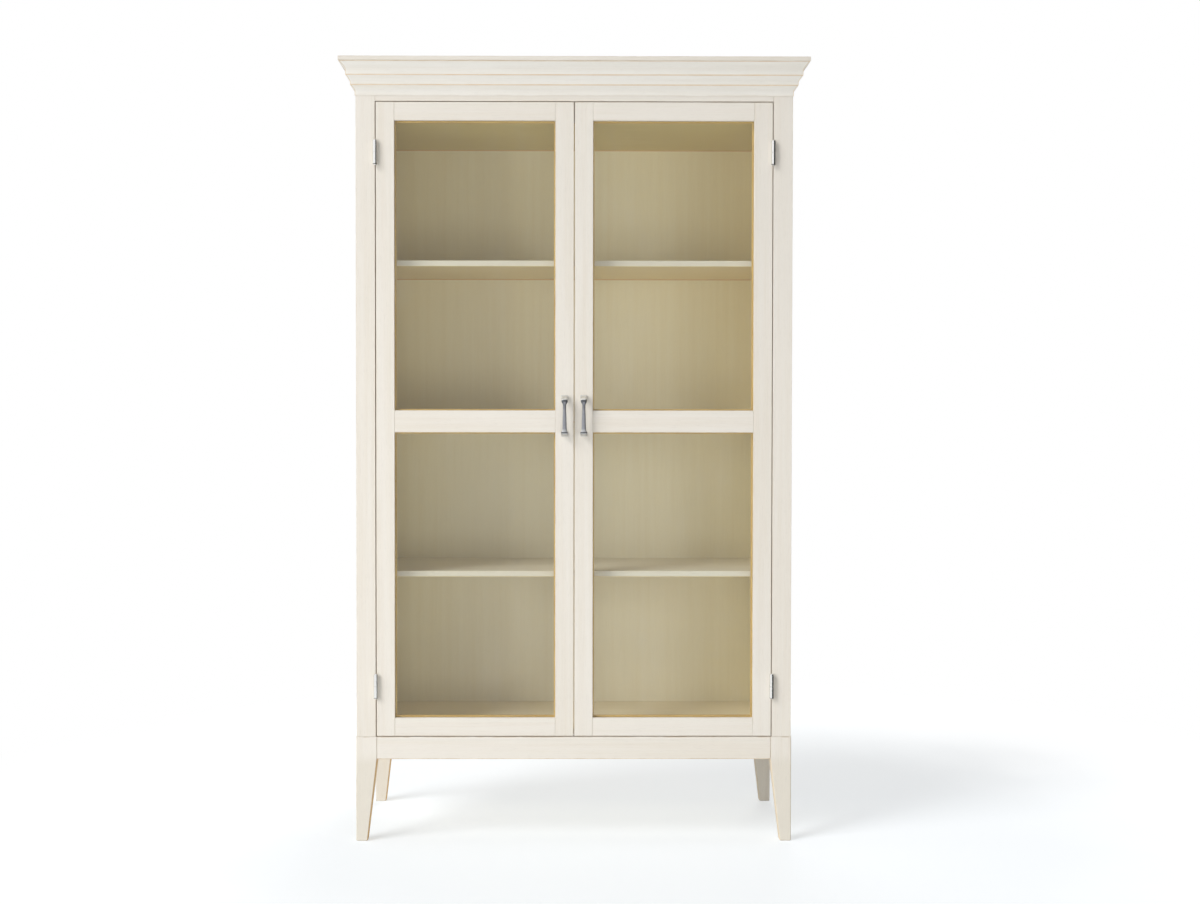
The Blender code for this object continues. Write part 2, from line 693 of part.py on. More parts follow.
def make_fixed_hinge_parts():
    """The leaves and pins that stay on the carcass."""
    for side_name, side in SIDES.items():
        for place, centre in HINGE_HEIGHTS.items():
            make_leaf(f"{side_name}_{place}_frame_leaf", side, 1, centre)
            make_hinge_pin(f"{side_name}_{place}_hinge_pin", side, centre)


# Doors

def pane_rebates(name, side, parent):
    """Cutter for the rebates behind both panes."""
    bm = bmesh.new()
    for low, high in PANES:
        add_box(bm, span(side, PANE_INNER - GLASS_REBATE, PANE_OUTER + GLASS_REBATE),
                (FRONT + GLASS_LIP, DOOR_BACK + CUT_PAST), grow((low, high), GLASS_REBATE))
    return from_bmesh(name, bm, parent=parent)


def rail_spans():
    """Each rail's name, its height range and its tenons' height range."""
    pane, end = TENON_PANE_SHOULDER, TENON_END_SHOULDER
    lower, upper = PANES
    return (("bottom_rail", (DOOR_BOTTOM, lower[0]), (DOOR_BOTTOM + end, lower[0] - pane)),
            ("middle_rail", (lower[1], upper[0]), (lower[1] + pane, upper[0] - pane)),
            ("top_rail", (upper[1], DOOR_TOP), (upper[1] + pane, DOOR_TOP - end)))


def make_door_frame(door, side, axis):
    """Two stiles and three rails, tenoned together and rebated for the glass."""
    rebates = pane_rebates(f"{door}_pane_rebates", side, axis)
    tenon_y = (FRONT + TENON_SETBACK, FRONT + TENON_SETBACK + TENON_THICKNESS)
    door_y = (FRONT, DOOR_BACK)
    mortises = bmesh.new()
    for rail, height, tenon in rail_spans():
        obj = board(f"{door}_{rail}", span(side, PANE_INNER + FIT, PANE_OUTER - FIT), door_y,
                    height, parent=axis)
        combine(obj, rebates)
        bm = bmesh.new()
        add_box(bm, span(side, PANE_INNER - TENON_LENGTH, PANE_OUTER + TENON_LENGTH),
                tenon_y, tenon)
        combine(obj, from_bmesh(f"{door}_{rail}_tenons", bm, parent=axis), "UNION")
        reach = TENON_LENGTH + TENON_END_PLAY
        add_box(mortises, span(side, PANE_INNER - reach, PANE_OUTER + reach),
                grow(tenon_y), grow(tenon))
    mortise_cutter = from_bmesh(f"{door}_mortises", mortises, parent=axis)
    stiles = {"hinge_stile": (PANE_OUTER, DOOR_OUTER), "meeting_stile": (DOOR_INNER, PANE_INNER)}
    for stile, (near, far) in stiles.items():
        obj = board(f"{door}_{stile}", span(side, near, far), door_y, (DOOR_BOTTOM, DOOR_TOP),
                    parent=axis)
        combine(obj, rebates)
        combine(obj, mortise_cutter)
        if stile == "hinge_stile":
            cut_for_leaves(obj, side, -1, axis)
        else:
            combine(obj, handle_holes(f"{door}_handle_holes", side, axis))


def make_glazing(door, side, axis):
    """Two panes and the bead frames that hold them in."""
    bead_y = (GLASS_FRONT + GLASS_THICKNESS + FIT, DOOR_BACK)
    for place, pane in zip(("lower", "upper"), PANES):
        hold = GLASS_REBATE - GLASS_PLAY
        x = span(side, PANE_INNER - hold, PANE_OUTER + hold)
        board(f"{door}_glass_{place}", x, (GLASS_FRONT, GLASS_FRONT + GLASS_THICKNESS),
              grow(pane, hold), GLASS, axis, GLASS_EASE)
        hold = GLASS_REBATE - FIT
        x = span(side, PANE_INNER - hold, PANE_OUTER + hold)
        beads = board(f"{door}_glazing_bead_{place}", x, bead_y, grow(pane, hold), CREAM, axis)
        bm = bmesh.new()
        add_box(bm, span(side, PANE_INNER + BEAD_SHOW, PANE_OUTER - BEAD_SHOW),
                grow(bead_y, CUT_PAST), grow(pane, -BEAD_SHOW))
        combine(beads, from_bmesh(f"{beads.name}_opening", bm, parent=axis))


def handle_foot_points(side):
    """Middle of each handle foot on the door's face."""
    for shift in (-HANDLE_FOOT_REACH, HANDLE_FOOT_REACH):
        yield Vector((side * HANDLE_X, FRONT, HANDLE_CENTRE + shift))


def handle_holes(name, side, parent):
    """Cutter for the bolts through the meeting stile."""
    bm = bmesh.new()
    for point in handle_foot_points(side):
        add_cylinder(bm, point - Vector((0, CUT_PAST, 0)), (0, 1, 0), DOOR_THICKNESS + 2 * CUT_PAST,
                 BOLT_RADIUS + FIT)
    return from_bmesh(name, bm, parent=parent)


def handle_sections():
    """Sections of the bow between its feet, from the top one to the bottom one.

    Each is (distance off the door, height, width, thickness, turn), where turn 0 faces
    the section away from the door, 1 faces it down the grip and 2 back to the door.
    An arm's shares are those of its way out, of its way to the grip's end and of its turn.
    """
    reach = HANDLE_FOOT_REACH
    out = HANDLE_STANDOFF
    head = HANDLE_LENGTH / 2 - HANDLE_HEAD_DROP
    neck = HANDLE_LENGTH / 2 - HANDLE_NECK_DROP
    tail = HANDLE_TAIL_RISE - HANDLE_LENGTH / 2
    flare = HANDLE_FLARE_RISE - HANDLE_LENGTH / 2
    sections = []
    for off_share, height_share, turn in HANDLE_ARM_SHARES:
        off = HANDLE_PLATE + (out - HANDLE_PLATE) * off_share
        height = reach + (head - reach) * height_share
        sections.append((off, height, HANDLE_HEAD_WIDTH, HANDLE_ARM_DEPTH, turn))
    middle_width = (HANDLE_NECK_WIDTH + HANDLE_TAIL_WIDTH) / 2
    sections += [(out, head, HANDLE_HEAD_WIDTH, HANDLE_THICKNESS, 1),
                 (out, neck, HANDLE_NECK_WIDTH, HANDLE_THICKNESS, 1),
                 (out, (neck + tail) / 2, middle_width, HANDLE_THICKNESS, 1),
                 (out, tail, HANDLE_TAIL_WIDTH, HANDLE_THICKNESS, 1),
                 (out, flare, HANDLE_FLARE_WIDTH, HANDLE_THICKNESS, 1)]
    for off_share, height_share, turn in reversed(HANDLE_ARM_SHARES):
        off = HANDLE_PLATE + (out - HANDLE_PLATE) * off_share
        height = -reach + (flare + reach) * height_share
        sections.append((off, height, HANDLE_FLARE_WIDTH, HANDLE_ARM_DEPTH, 2 - turn))
    return sections


def smooth_sections(sections):
    """Sections on a smooth curve through the given ones."""
    padded = [sections[0], *sections, sections[-1]]
    result = []
    for span_ends in zip(padded, padded[1:], padded[2:], padded[3:]):
        for step in range(HANDLE_SPAN_STEPS):
            t = step / HANDLE_SPAN_STEPS
            result.append([catmull_rom(t, *values) for values in zip(*span_ends)])
    result.append(sections[-1])
    return result


def catmull_rom(t, before, start, end, after):
    """Value at t on the smooth curve from start to end."""
    slope = (end - before) / 2
    end_slope = (after - start) / 2
    rise = end - start
    bend = 3 * rise - 2 * slope - end_slope
    return start + t * (slope + t * (bend + t * (slope + end_slope - 2 * rise)))


def section_ring(bm, side, section):
    """Corners of one rounded section of the handle."""
    off, height, width, thick, turn = section
    angle = turn * math.pi / 2
    across = Vector((0, -math.sin(angle), math.cos(angle)))
    middle = Vector((side * HANDLE_X, FRONT - off, HANDLE_CENTRE + height))
    ring = []
    for corner in range(4):
        quarter = corner * math.pi / 2 + math.pi / 4
        centre_a = math.copysign(width / 2 - HANDLE_ROUNDING, math.cos(quarter))
        centre_b = math.copysign(thick / 2 - HANDLE_ROUNDING, math.sin(quarter))
        for step in range(HANDLE_CORNER_STEPS + 1):
            bend = (corner + step / HANDLE_CORNER_STEPS) * math.pi / 2
            a = centre_a + HANDLE_ROUNDING * math.cos(bend)
            b = centre_b + HANDLE_ROUNDING * math.sin(bend)
            ring.append(bm.verts.new(middle + Vector((a, 0, 0)) + across * b))
    return ring


def make_handle(door, side, axis):
    """Cast bow handle with a foot at each end, tapped for its bolts."""
    bm = bmesh.new()
    foot = (HANDLE_FOOT_WIDTH, HANDLE_FOOT_HEIGHT)
    reach = HANDLE_FOOT_REACH
    sections = [(FIT, reach, *foot, 0), (HANDLE_PLATE, reach, *foot, 0),
                *smooth_sections(handle_sections()),
                (HANDLE_PLATE, -reach, *foot, 2), (FIT, -reach, *foot, 2)]
    rings = [section_ring(bm, side, section) for section in sections]
    for first, second in zip(rings, rings[1:]):
        for i in range(len(first)):
            j = (i + 1) % len(first)
            bm.faces.new((first[i], first[j], second[j], second[i]))
    bm.faces.new(rings[0])
    bm.faces.new(rings[-1])
    bmesh.ops.recalc_face_normals(bm, faces=bm.faces)
    origin = (side * HANDLE_X, FRONT, HANDLE_CENTRE)
    obj = from_bmesh(f"{door}_handle", bm, PEWTER, origin, axis, smooth=True)
    taps = bmesh.new()
    for point in handle_foot_points(side):
        add_cylinder(taps, point + Vector((0, CUT_PAST, 0)), (0, -1, 0),
                 CUT_PAST + FIT + BOLT_GRIP + FIT, BOLT_RADIUS + FIT)
    combine(obj, from_bmesh(f"{door}_handle_taps", taps, parent=axis))


def make_strike(door, side, axis):
    """Steel plate on the back of the top rail, which the magnet pulls."""
    middle = Vector((side * CATCH_OFFSET, DOOR_BACK + FIT, CATCH_HEIGHT))
    bm = bmesh.new()
    add_box(bm, (middle.x - STRIKE_WIDTH / 2, middle.x + STRIKE_WIDTH / 2),
            (middle.y, middle.y + STRIKE_THICKNESS),
            (middle.z - STRIKE_HEIGHT / 2, middle.z + STRIKE_HEIGHT / 2))
    plate = from_bmesh(f"{door}_strike_plate", bm, STEEL, middle, axis)
    holes = bmesh.new()
    head = middle + Vector((0, STRIKE_THICKNESS, 0))
    add_mesh(holes, sunk_hole(STRIKE_SCREW_LENGTH), aim(head, (0, 1, 0)))
    cutter = from_bmesh(f"{door}_strike_hole", holes, parent=axis)
    combine(plate, cutter)
    combine(bpy.data.objects[f"{door}_top_rail"], cutter)


def make_door(side_name, side):
    """One whole door, hung on its hinge axis."""
    door = f"{side_name}_door"
    axis = bpy.data.objects.new(f"{door}_axis", None)
    axis.location = (side * HINGE_X, HINGE_Y, DOOR_BOTTOM)
    CABINET.objects.link(axis)
    make_door_frame(door, side, axis)
    make_glazing(door, side, axis)
    for place, centre in HINGE_HEIGHTS.items():
        make_leaf(f"{side_name}_{place}_door_leaf", side, -1, centre, axis)
    make_handle(door, side, axis)
    make_strike(door, side, axis)


make_base()
make_carcass()
make_cornice()
make_fixed_hinge_parts()
for door_side in SIDES.items():
    make_door(*door_side)
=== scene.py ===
import math

import bmesh
import bpy
from mathutils import Matrix, Vector


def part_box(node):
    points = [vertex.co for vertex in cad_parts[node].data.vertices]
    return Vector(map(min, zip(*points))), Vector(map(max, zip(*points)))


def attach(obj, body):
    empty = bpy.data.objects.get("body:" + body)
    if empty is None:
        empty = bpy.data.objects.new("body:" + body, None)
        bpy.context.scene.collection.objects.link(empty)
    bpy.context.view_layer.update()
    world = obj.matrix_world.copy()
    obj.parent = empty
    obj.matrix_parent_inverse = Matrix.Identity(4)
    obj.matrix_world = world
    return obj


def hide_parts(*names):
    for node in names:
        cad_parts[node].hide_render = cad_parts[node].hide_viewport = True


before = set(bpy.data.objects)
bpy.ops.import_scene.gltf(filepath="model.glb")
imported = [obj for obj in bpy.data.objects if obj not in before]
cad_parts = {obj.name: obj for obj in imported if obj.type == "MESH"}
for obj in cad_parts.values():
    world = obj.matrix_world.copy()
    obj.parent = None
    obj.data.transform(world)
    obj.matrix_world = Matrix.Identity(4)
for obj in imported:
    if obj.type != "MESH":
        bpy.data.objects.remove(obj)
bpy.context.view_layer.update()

SIDES = {"left": -1, "right": 1}

# Places that the boards give
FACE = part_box("face_stile_left")[0].y
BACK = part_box("side_panel_left")[1].y
HALF_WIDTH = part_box("side_panel_right")[1].x
SIDE_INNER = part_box("door_stop_rail")[1].x
APRON_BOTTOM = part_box("apron_front")[0].z
BASE_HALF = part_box("leg_front_right")[1].x
DOOR_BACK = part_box("left_door_top_rail")[1].y
CORNICE_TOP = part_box("cornice_front")[1].z

# Legs: width and depth above the taper, and at the foot
LEG = (0.054, 0.038)
FOOT = (0.029, 0.027)

# Cornice steps: overhang, height of the cove above it and height of its upright face
CORNICE_LIP = 0.0375
CORNICE_STEPS = ((0.0225, 0.018, 0.014), (0.0120, 0.015, 0.008), (0.0015, 0.012, 0.013))
COVE_HOLLOW = 0.07
COVE_POINTS = 16
FIT = 0.0003

# Screws: places on a leaf, on a handle and across the back panel
LEAF_SCREW_SPREAD = 0.019
LEAF_SCREW_OFFSET = 0.0004
LEAF_SCREW_DEPTH = 0.009
HANDLE_REACH = 0.047
PANEL_SCREW_SHARES = (-0.82, -0.41, 0.0, 0.41, 0.82)
PANEL_SCREW_INSET = 0.0045

# Smoothing: points nearer than this merge, and edges sharper than this stay sharp
MERGE_DISTANCE = 0.00002
SHARP_ANGLE = math.radians(38)

# Camera, fitted to the photograph: place, lens, shift, and turns in degrees
CAMERA_PLACE = (-0.0262, -3.9554, 1.0884)
CAMERA_LENS = 44.14
CAMERA_SHIFT = (0.02325, -0.00398)
CAMERA_DIP = 1.1444
CAMERA_ROLL = -0.047
CAMERA_TURN = -0.32

# Floor: middle of the shadow, where the floor starts and ends going white, and how much
# of it shines by itself in the shadow and how brightly
SHADOW_MIDDLE = (0.25, 0.0, 0.0)
FADE = (0.85, 2.2)
SHINING_SHARE = 0.38
SHINE = 1.42
FLOOR_RADIUS = 14.0


def centre_of(node):
    """Centre of a node's box."""
    return [(a + b) / 2 for a, b in zip(*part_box(node))]


def srgb(red, green, blue):
    """Linear colour of an 8-bit screen colour."""
    def linear(value):
        share = value / 255
        return share / 12.92 if share < 0.04045 else ((share + 0.055) / 1.055) ** 2.4
    return linear(red), linear(green), linear(blue), 1.0


class Wire:
    """A node's output, which takes part in sums with numbers and other outputs."""

    def __init__(self, tree, socket):
        self.tree = tree
        self.socket = socket

    def other(self, name):
        """Another output of the same node."""
        return Wire(self.tree, self.socket.node.outputs[name])

    def maths(self, operation, *values):
        """A Math node on some values."""
        return self.tree.add("ShaderNodeMath", {"operation": operation}, dict(enumerate(values)))

    def __add__(self, other):
        return self.maths("ADD", self, other)

    def __sub__(self, other):
        return self.maths("SUBTRACT", self, other)

    def __rsub__(self, other):
        return self.maths("SUBTRACT", other, self)

    def __mul__(self, other):
        return self.maths("MULTIPLY", self, other)

    def __truediv__(self, other):
        return self.maths("DIVIDE", self, other)

    def __pow__(self, other):
        return self.maths("POWER", self, other)

    def __abs__(self):
        return self.maths("ABSOLUTE", self)

    def least(self, other):
        """The smaller of two values."""
        return self.maths("MINIMUM", self, other)

    def most(self, other):
        """The larger of two values."""
        return self.maths("MAXIMUM", self, other)

    __radd__ = __add__
    __rmul__ = __mul__


def set_stops(ramp, stops):
    """Give a colour ramp its (place, colour) stops, in rising order."""
    while len(ramp.elements) < len(stops):
        ramp.elements.new(1.0)
    for element, (place, colour) in zip(ramp.elements, stops):
        element.position = place
        element.color = colour


class Tree:
    """A node tree written as calls: a node's type, its settings, then its sockets."""

    def __init__(self, nodes):
        self.nodes = nodes

    def add(self, kind, settings=None, sockets=None, output=0):
        """Add a node, and return one of its outputs."""
        node = self.nodes.nodes.new(kind)
        for name, value in (settings or {}).items():
            if name == "stops":
                set_stops(node.color_ramp, value)
            else:
                setattr(node, name, value)
        for key, value in (sockets or {}).items():
            if isinstance(value, Wire):
                self.nodes.links.new(value.socket, node.inputs[key])
            else:
                node.inputs[key].default_value = value
        return Wire(self, node.outputs[output]) if len(node.outputs) else node

    def rise(self, value, low, high):
        """0 at low, 1 at high and smooth between them."""
        return self.add("ShaderNodeMapRange", {"interpolation_type": "SMOOTHSTEP"},
                        {"Value": value, "From Min": low, "From Max": high})


class Finish(Tree):
    """A material on Object coordinates, written as calls."""

    def __init__(self, name):
        self.material = bpy.data.materials.new(name)
        self.material.use_nodes = True
        super().__init__(self.material.node_tree)
        self.nodes.nodes.clear()
        self.place = self.add("ShaderNodeTexCoord", output="Object")
        parts = self.add("ShaderNodeSeparateXYZ", None, {0: self.place})
        self.x, self.y, self.z = parts, parts.other("Y"), parts.other("Z")

    def stretched(self, along, share, shift=(0, 0, 0)):
        """Coordinates that are drawn out along one axis, so that a pattern runs along it."""
        scale = [1.0, 1.0, 1.0]
        scale["XYZ".index(along)] = share
        return self.add("ShaderNodeMapping", None,
                        {"Vector": self.place, "Location": shift, "Scale": scale})

    def noise(self, place, scale, detail=2.0, roughness=0.5):
        """A noise pattern; a larger scale makes it finer."""
        return self.add("ShaderNodeTexNoise", None, {
            "Vector": place, "Scale": scale, "Detail": detail, "Roughness": roughness})

    def mix(self, share, first, second):
        """Colour that goes from the first to the second."""
        return self.add("ShaderNodeMix", {"data_type": "RGBA"},
                        {0: share, 6: first, 7: second}, output=2)

    def shade(self, colour, amount):
        """A colour times a number."""
        return self.add("ShaderNodeVectorMath", {"operation": "SCALE"},
                        {0: colour, "Scale": amount})

    def bump(self, height, strength, distance):
        """Surface directions that follow a pattern's height."""
        return self.add("ShaderNodeBump", None,
                        {"Height": height, "Strength": strength, "Distance": distance})

    def edge_distance(self, low, high):
        """Distance from a point on a box's face to the nearest edge of the box."""
        middle, half = (low + high) / 2, (high - low) / 2
        a, b, c = (size - abs(value - centre) for value, centre, size
                   in zip((self.x, self.y, self.z), middle, half))
        return a.least(b).most(a.most(b).least(c))

    def close(self, shader):
        """Lead a shader to the surface and return the material."""
        self.add("ShaderNodeOutputMaterial", None, {"Surface": shader})
        return self.material

    def principled(self, sockets):
        """Close the finish with one Principled shader."""
        return self.close(self.add("ShaderNodeBsdfPrincipled", None, sockets))


# Finishes: each wash is its colour where it is thick and where it is thin

CREAM = (srgb(240, 233, 222), srgb(229, 218, 200))
BACK_WASH = (srgb(245, 239, 221), srgb(238, 229, 204))
# Painted shade: a yellower wash for the top of the back, under the ceiling.
HIGH_SHADE_WASH = (srgb(243, 233, 202), srgb(236, 221, 182))
SIDE_WASH = (srgb(230, 213, 152), srgb(196, 171, 106))
# Painted shade: yellower washes for the back towards the side panels, and there under the ceiling
# too.
CORNER_SHADE_WASH = (srgb(246, 238, 208), srgb(238, 227, 190))
HIGH_CORNER_SHADE_WASH = (srgb(246, 232, 188), srgb(238, 220, 166))
# Painted shade: a darker, yellower wash for the ceiling's underside.
CEILING_SHADE_WASH = (srgb(223, 203, 135), srgb(209, 184, 111))
FLOOR_WASH = (srgb(246, 235, 211), srgb(234, 220, 191))
SHELF_WASH = (srgb(237, 231, 220), srgb(225, 214, 197))
# Painted light: a lighter wash that offsets the shade on the cornice's downward-facing coves.
CORNICE_LIGHT_WASH = (srgb(250, 245, 236), srgb(240, 231, 215))
RAW = (srgb(226, 206, 170), srgb(186, 156, 112))
BARE = srgb(176, 142, 92)
# Oiled wood; where it is mixed in along creases, joints and faces that lie in shade, it paints
# their shade as well.
OIL_AND_SHADE = srgb(220, 176, 104)
# Painted shade: yellower undersides of the shelves.
UNDERSIDE_SHADE = srgb(246, 226, 178)
# Painted shade: darker legs below the apron.
LEG_SHADE = srgb(229, 221, 206)

# How far from an arris the oiled line of painted shade starts to show, and where it shows fully
ARRIS = (0.0018, 0.0008)
# How high above a board's underside its wash changes
UNDER = (0.0012, 0.0006)
# How strongly a board's edges are worn
BASE_WEAR, BODY_WEAR = 0.45, 0.16


def leg_touch(finish, node, colour, thin, patches):
    """Darker below the apron, painted shade; oiled wood on the tapered inner faces, which also
    paints their shade, far more strongly on the left legs, whose inner faces turn away from the
    key light.
    """
    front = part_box(node)[0].y < 0
    taper = finish.z / APRON_BOTTOM
    width = taper * (LEG[0] - FOOT[0]) + FOOT[0]
    depth = taper * (LEG[1] - FOOT[1]) + FOOT[1]
    from_outer_x = BASE_HALF - abs(finish.x)
    from_outer_y = finish.y - FACE if front else BACK - finish.y
    near_x = finish.rise(width - from_outer_x, 0.0024, 0.0006)
    near_y = finish.rise(depth - from_outer_y, 0.0016, 0.0003)
    below = finish.rise(finish.z, APRON_BOTTOM + 0.02, APRON_BOTTOM - 0.02)
    inner = finish.rise(finish.z, APRON_BOTTOM + 0.004, APRON_BOTTOM - 0.004)
    # Painted shade: the legs turn darker below the apron.
    colour = finish.mix(below * (0.75 if front else 0.25), colour, LEG_SHADE)
    # Oiled wood on the inner faces, which also paints their shade, far stronger on the left legs.
    oil_and_shade_share = 0.95 if "left" in node else 0.30
    bare_and_shade = near_x.most(near_y * 0.08) * inner * (oil_and_shade_share + 0.4 * (patches - 0.5))
    return finish.mix(bare_and_shade, colour, OIL_AND_SHADE)


def apron_touch(finish, node, colour, thin, patches):
    """Darker and browner along the lower edge."""
    lower = finish.rise(finish.z, APRON_BOTTOM + 0.0018, APRON_BOTTOM + 0.0004)
    return finish.mix(lower * 0.55, colour, OIL_AND_SHADE)


def cornice_touch(finish, node, colour, thin, patches):
    """Dark oiled lines along the moulding's steps paint the shade in their creases; the mitred
    corners show as dark joints.
    """
    z = CORNICE_TOP
    shade_lines = finish.rise(abs(finish.z - z), *ARRIS)
    for _, cove_height, step_height in CORNICE_STEPS[:-1]:
        z -= cove_height + step_height
        shade_lines = shade_lines.most(finish.rise(abs(finish.z - z), *ARRIS))
    over_side = abs(finish.x) - HALF_WIDTH
    over_front = FACE - finish.y
    corner = finish.rise(abs(over_side - over_front), 0.0018, 0.0006)
    return finish.mix(shade_lines.most(corner) * (0.48 + 0.6 * (patches - 0.5)), colour, OIL_AND_SHADE)


def door_touch(finish, node, colour, thin, patches):
    """Unpainted wood brown on a door's edges, which also paints the warm shade in the gap round
    it.
    """
    low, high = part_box("right_door_hinge_stile")
    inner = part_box("right_door_meeting_stile")[0].x
    edges = finish.rise(abs(finish.x), inner + 0.0004, inner + 0.0002)
    for place, outer, within in ((abs(finish.x), high.x, -0.0004), (finish.z, low.z, 0.0004),
                                 (finish.z, high.z, -0.0004)):
        edges = edges.most(finish.rise(place, outer + within, outer + within / 2))
    return finish.mix(edges * 0.6, colour, BARE)


def back_touch(finish, node, colour, thin, patches):
    """Yellower towards the top and the corners, painted shade under the ceiling and beside the
    side panels; a dark oiled line painted as shade under each board; raw behind.
    """
    low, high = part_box(node)
    # Painted shade: the back grows yellower towards the top, under the ceiling, and towards the
    # side panels.
    above = finish.rise(finish.z, low.z, high.z)
    colour = finish.mix(above, colour, finish.mix(thin, *HIGH_SHADE_WASH))
    corner = finish.rise(abs(finish.x), SIDE_INNER - 0.35, SIDE_INNER + 0.05)
    corner_shade_colour = finish.mix(above, finish.mix(thin, *CORNER_SHADE_WASH),
                               finish.mix(thin, *HIGH_CORNER_SHADE_WASH))
    colour = finish.mix(corner, colour, corner_shade_colour)
    # Painted shade: a dark oiled line just under each board, where it meets the back.
    for board in ("shelf_lower", "shelf_middle", "shelf_upper", "ceiling_panel"):
        line = finish.rise(abs(finish.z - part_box(board)[0].z + 0.0012), 0.0020, 0.0008)
        colour = finish.mix(line * 0.85, colour, OIL_AND_SHADE)
    behind = finish.rise(finish.y, low.y + 0.001, low.y + 0.002)
    return finish.mix(behind, colour, finish.mix(thin, *RAW))


def shelf_touch(finish, node, colour, thin, patches):
    """Yellower below: painted shade on the underside."""
    low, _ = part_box(node)
    below = finish.rise(finish.z, low.z + UNDER[0], low.z + UNDER[1])
    return finish.mix(below, colour, UNDERSIDE_SHADE)


def stop_touch(finish, node, colour, thin, patches):
    """Yellower below, with the ceiling's painted shade."""
    low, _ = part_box(node)
    below = finish.rise(finish.z, low.z + UNDER[0], low.z + UNDER[1])
    return finish.mix(below, colour, finish.mix(thin, *CEILING_SHADE_WASH))


def side_touch(finish, node, colour, thin, patches):
    """Oiled wood inside, under a thin wash."""
    inside = finish.rise(abs(finish.x), SIDE_INNER + 0.003, SIDE_INNER + 0.002)
    return finish.mix(inside, colour, finish.mix(thin, *SIDE_WASH))


TOUCHES = {"leg_": leg_touch, "apron_": apron_touch, "cornice_": cornice_touch,
           "_door_": door_touch, "back_panel": back_touch, "side_panel": side_touch,
           "shelf_": shelf_touch, "door_stop_rail": stop_touch}


def washed_wood(node, along, seed, wear, colours):
    """Cream wash over wood with its grain along one axis, thinner on the board's edges."""
    finish = Finish("wash_on_" + node)
    shift = (seed * 1.37, seed * 0.83, seed * 2.11)
    fibres = finish.noise(finish.stretched(along, 0.03, shift), 330, 4, 0.62)
    streaks = finish.noise(finish.stretched(along, 0.022, shift), 58, 3)
    tone = finish.noise(finish.stretched(along, 0.4, shift), 3.1, 2)
    pores = finish.rise(finish.noise(finish.stretched(along, 0.06, shift), 900, 1), 0.60, 0.72)
    patches = finish.noise(finish.stretched(along, 0.35, shift), 45, 3, 0.6)

    thin = finish.rise(streaks * 0.55 + fibres * 0.30 + tone * 0.35, 0.46, 0.78) * 0.45
    colour = finish.mix(thin, *colours)
    for word, touch in TOUCHES.items():
        if word in node:
            colour = touch(finish, node, colour, thin, patches)
    edge = finish.edge_distance(*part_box(node))
    rub = finish.rise(edge, 0.0030, 0.0007) * finish.rise(patches, 0.38, 0.62) * wear
    colour = finish.shade(finish.mix(rub, colour, BARE), 1.0 - pores * 0.045)
    height = fibres * 0.6 + streaks * 0.3 - pores * 0.5
    return finish.principled({
        "Base Color": colour,
        "Roughness": 0.50 + 0.16 * (fibres - 0.5) + rub * 0.12,
        "Normal": finish.bump(height, 0.30, 0.0005)})


def bare_wood(node):
    """Oiled strips round a pane, with the grain along each strip."""
    finish = Finish("bare_wood_of_" + node)
    low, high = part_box(node)
    middle, half = (low + high) / 2, (high - low) / 2
    upright = finish.rise(half.x - abs(finish.x - middle.x), 0.014, 0.012)

    def grain(scale, detail):
        level = finish.noise(finish.stretched("X", 0.03), scale, detail, 0.6)
        standing = finish.noise(finish.stretched("Z", 0.03), scale, detail, 0.6)
        return level + (standing - level) * upright

    fine, broad = grain(520, 3), grain(120, 2)
    colour = finish.mix(finish.rise(fine * 0.6 + broad * 0.4, 0.36, 0.66),
                        srgb(232, 198, 122), srgb(204, 164, 88))
    return finish.principled({
        "Base Color": colour,
        "Roughness": 0.42 + 0.2 * (fine - 0.5),
        "Normal": finish.bump(fine, 0.25, 0.0004)})


def clear_glass():
    """Float glass: a faint green tint, soft smears and a little waviness."""
    finish = Finish("clear_glass")
    smears = finish.noise(finish.stretched("Z", 0.45), 9, 4, 0.6)
    waves = finish.noise(finish.place, 5, 1)
    normal = finish.bump(waves, 0.05, 0.002)
    facing = finish.add("ShaderNodeLayerWeight", None, {"Blend": 0.5}, output="Facing")
    mirror = 0.038 + 0.8 * facing ** 5 + 0.02 * finish.rise(smears, 0.5, 0.8)
    through = finish.add("ShaderNodeBsdfTransparent", None, {"Color": (0.97, 0.972, 0.944, 1.0)})
    sheen = finish.add("ShaderNodeBsdfPrincipled", None, {
        "Base Color": (1.0, 1.0, 1.0, 1.0), "Metallic": 1.0, "Roughness": 0.03,
        "Normal": normal})
    return finish.close(finish.add("ShaderNodeMixShader", None,
                                   {0: mirror, 1: through, 2: sheen}))


def satin_nickel():
    """Plated metal brushed round its length, with dull spots and a dark line painted as the shade
    in the joint between the knuckles.
    """
    finish = Finish("satin_nickel")
    brushed = finish.noise(finish.stretched("X", 0.10), 1500, 3, 0.6)
    spots = finish.rise(finish.noise(finish.place, 420, 3), 0.56, 0.70)
    colour = finish.mix(spots * 0.5 + 0.5 * (brushed - 0.5), srgb(238, 238, 236),
                        srgb(196, 196, 194))
    # Painted shade: a dark line where the two knuckles of each hinge meet.
    for level in ("lower", "upper"):
        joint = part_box(f"left_{level}_door_leaf")[0].z
        colour = finish.mix(finish.rise(abs(finish.z - joint), 0.0011, 0.0004), colour,
                            srgb(104, 102, 98))
    return finish.principled({
        "Base Color": colour,
        "Metallic": 1.0,
        "Roughness": 0.18 + 0.16 * (brushed - 0.5) + 0.12 * spots,
        "Normal": finish.bump(brushed, 0.20, 0.0001)})


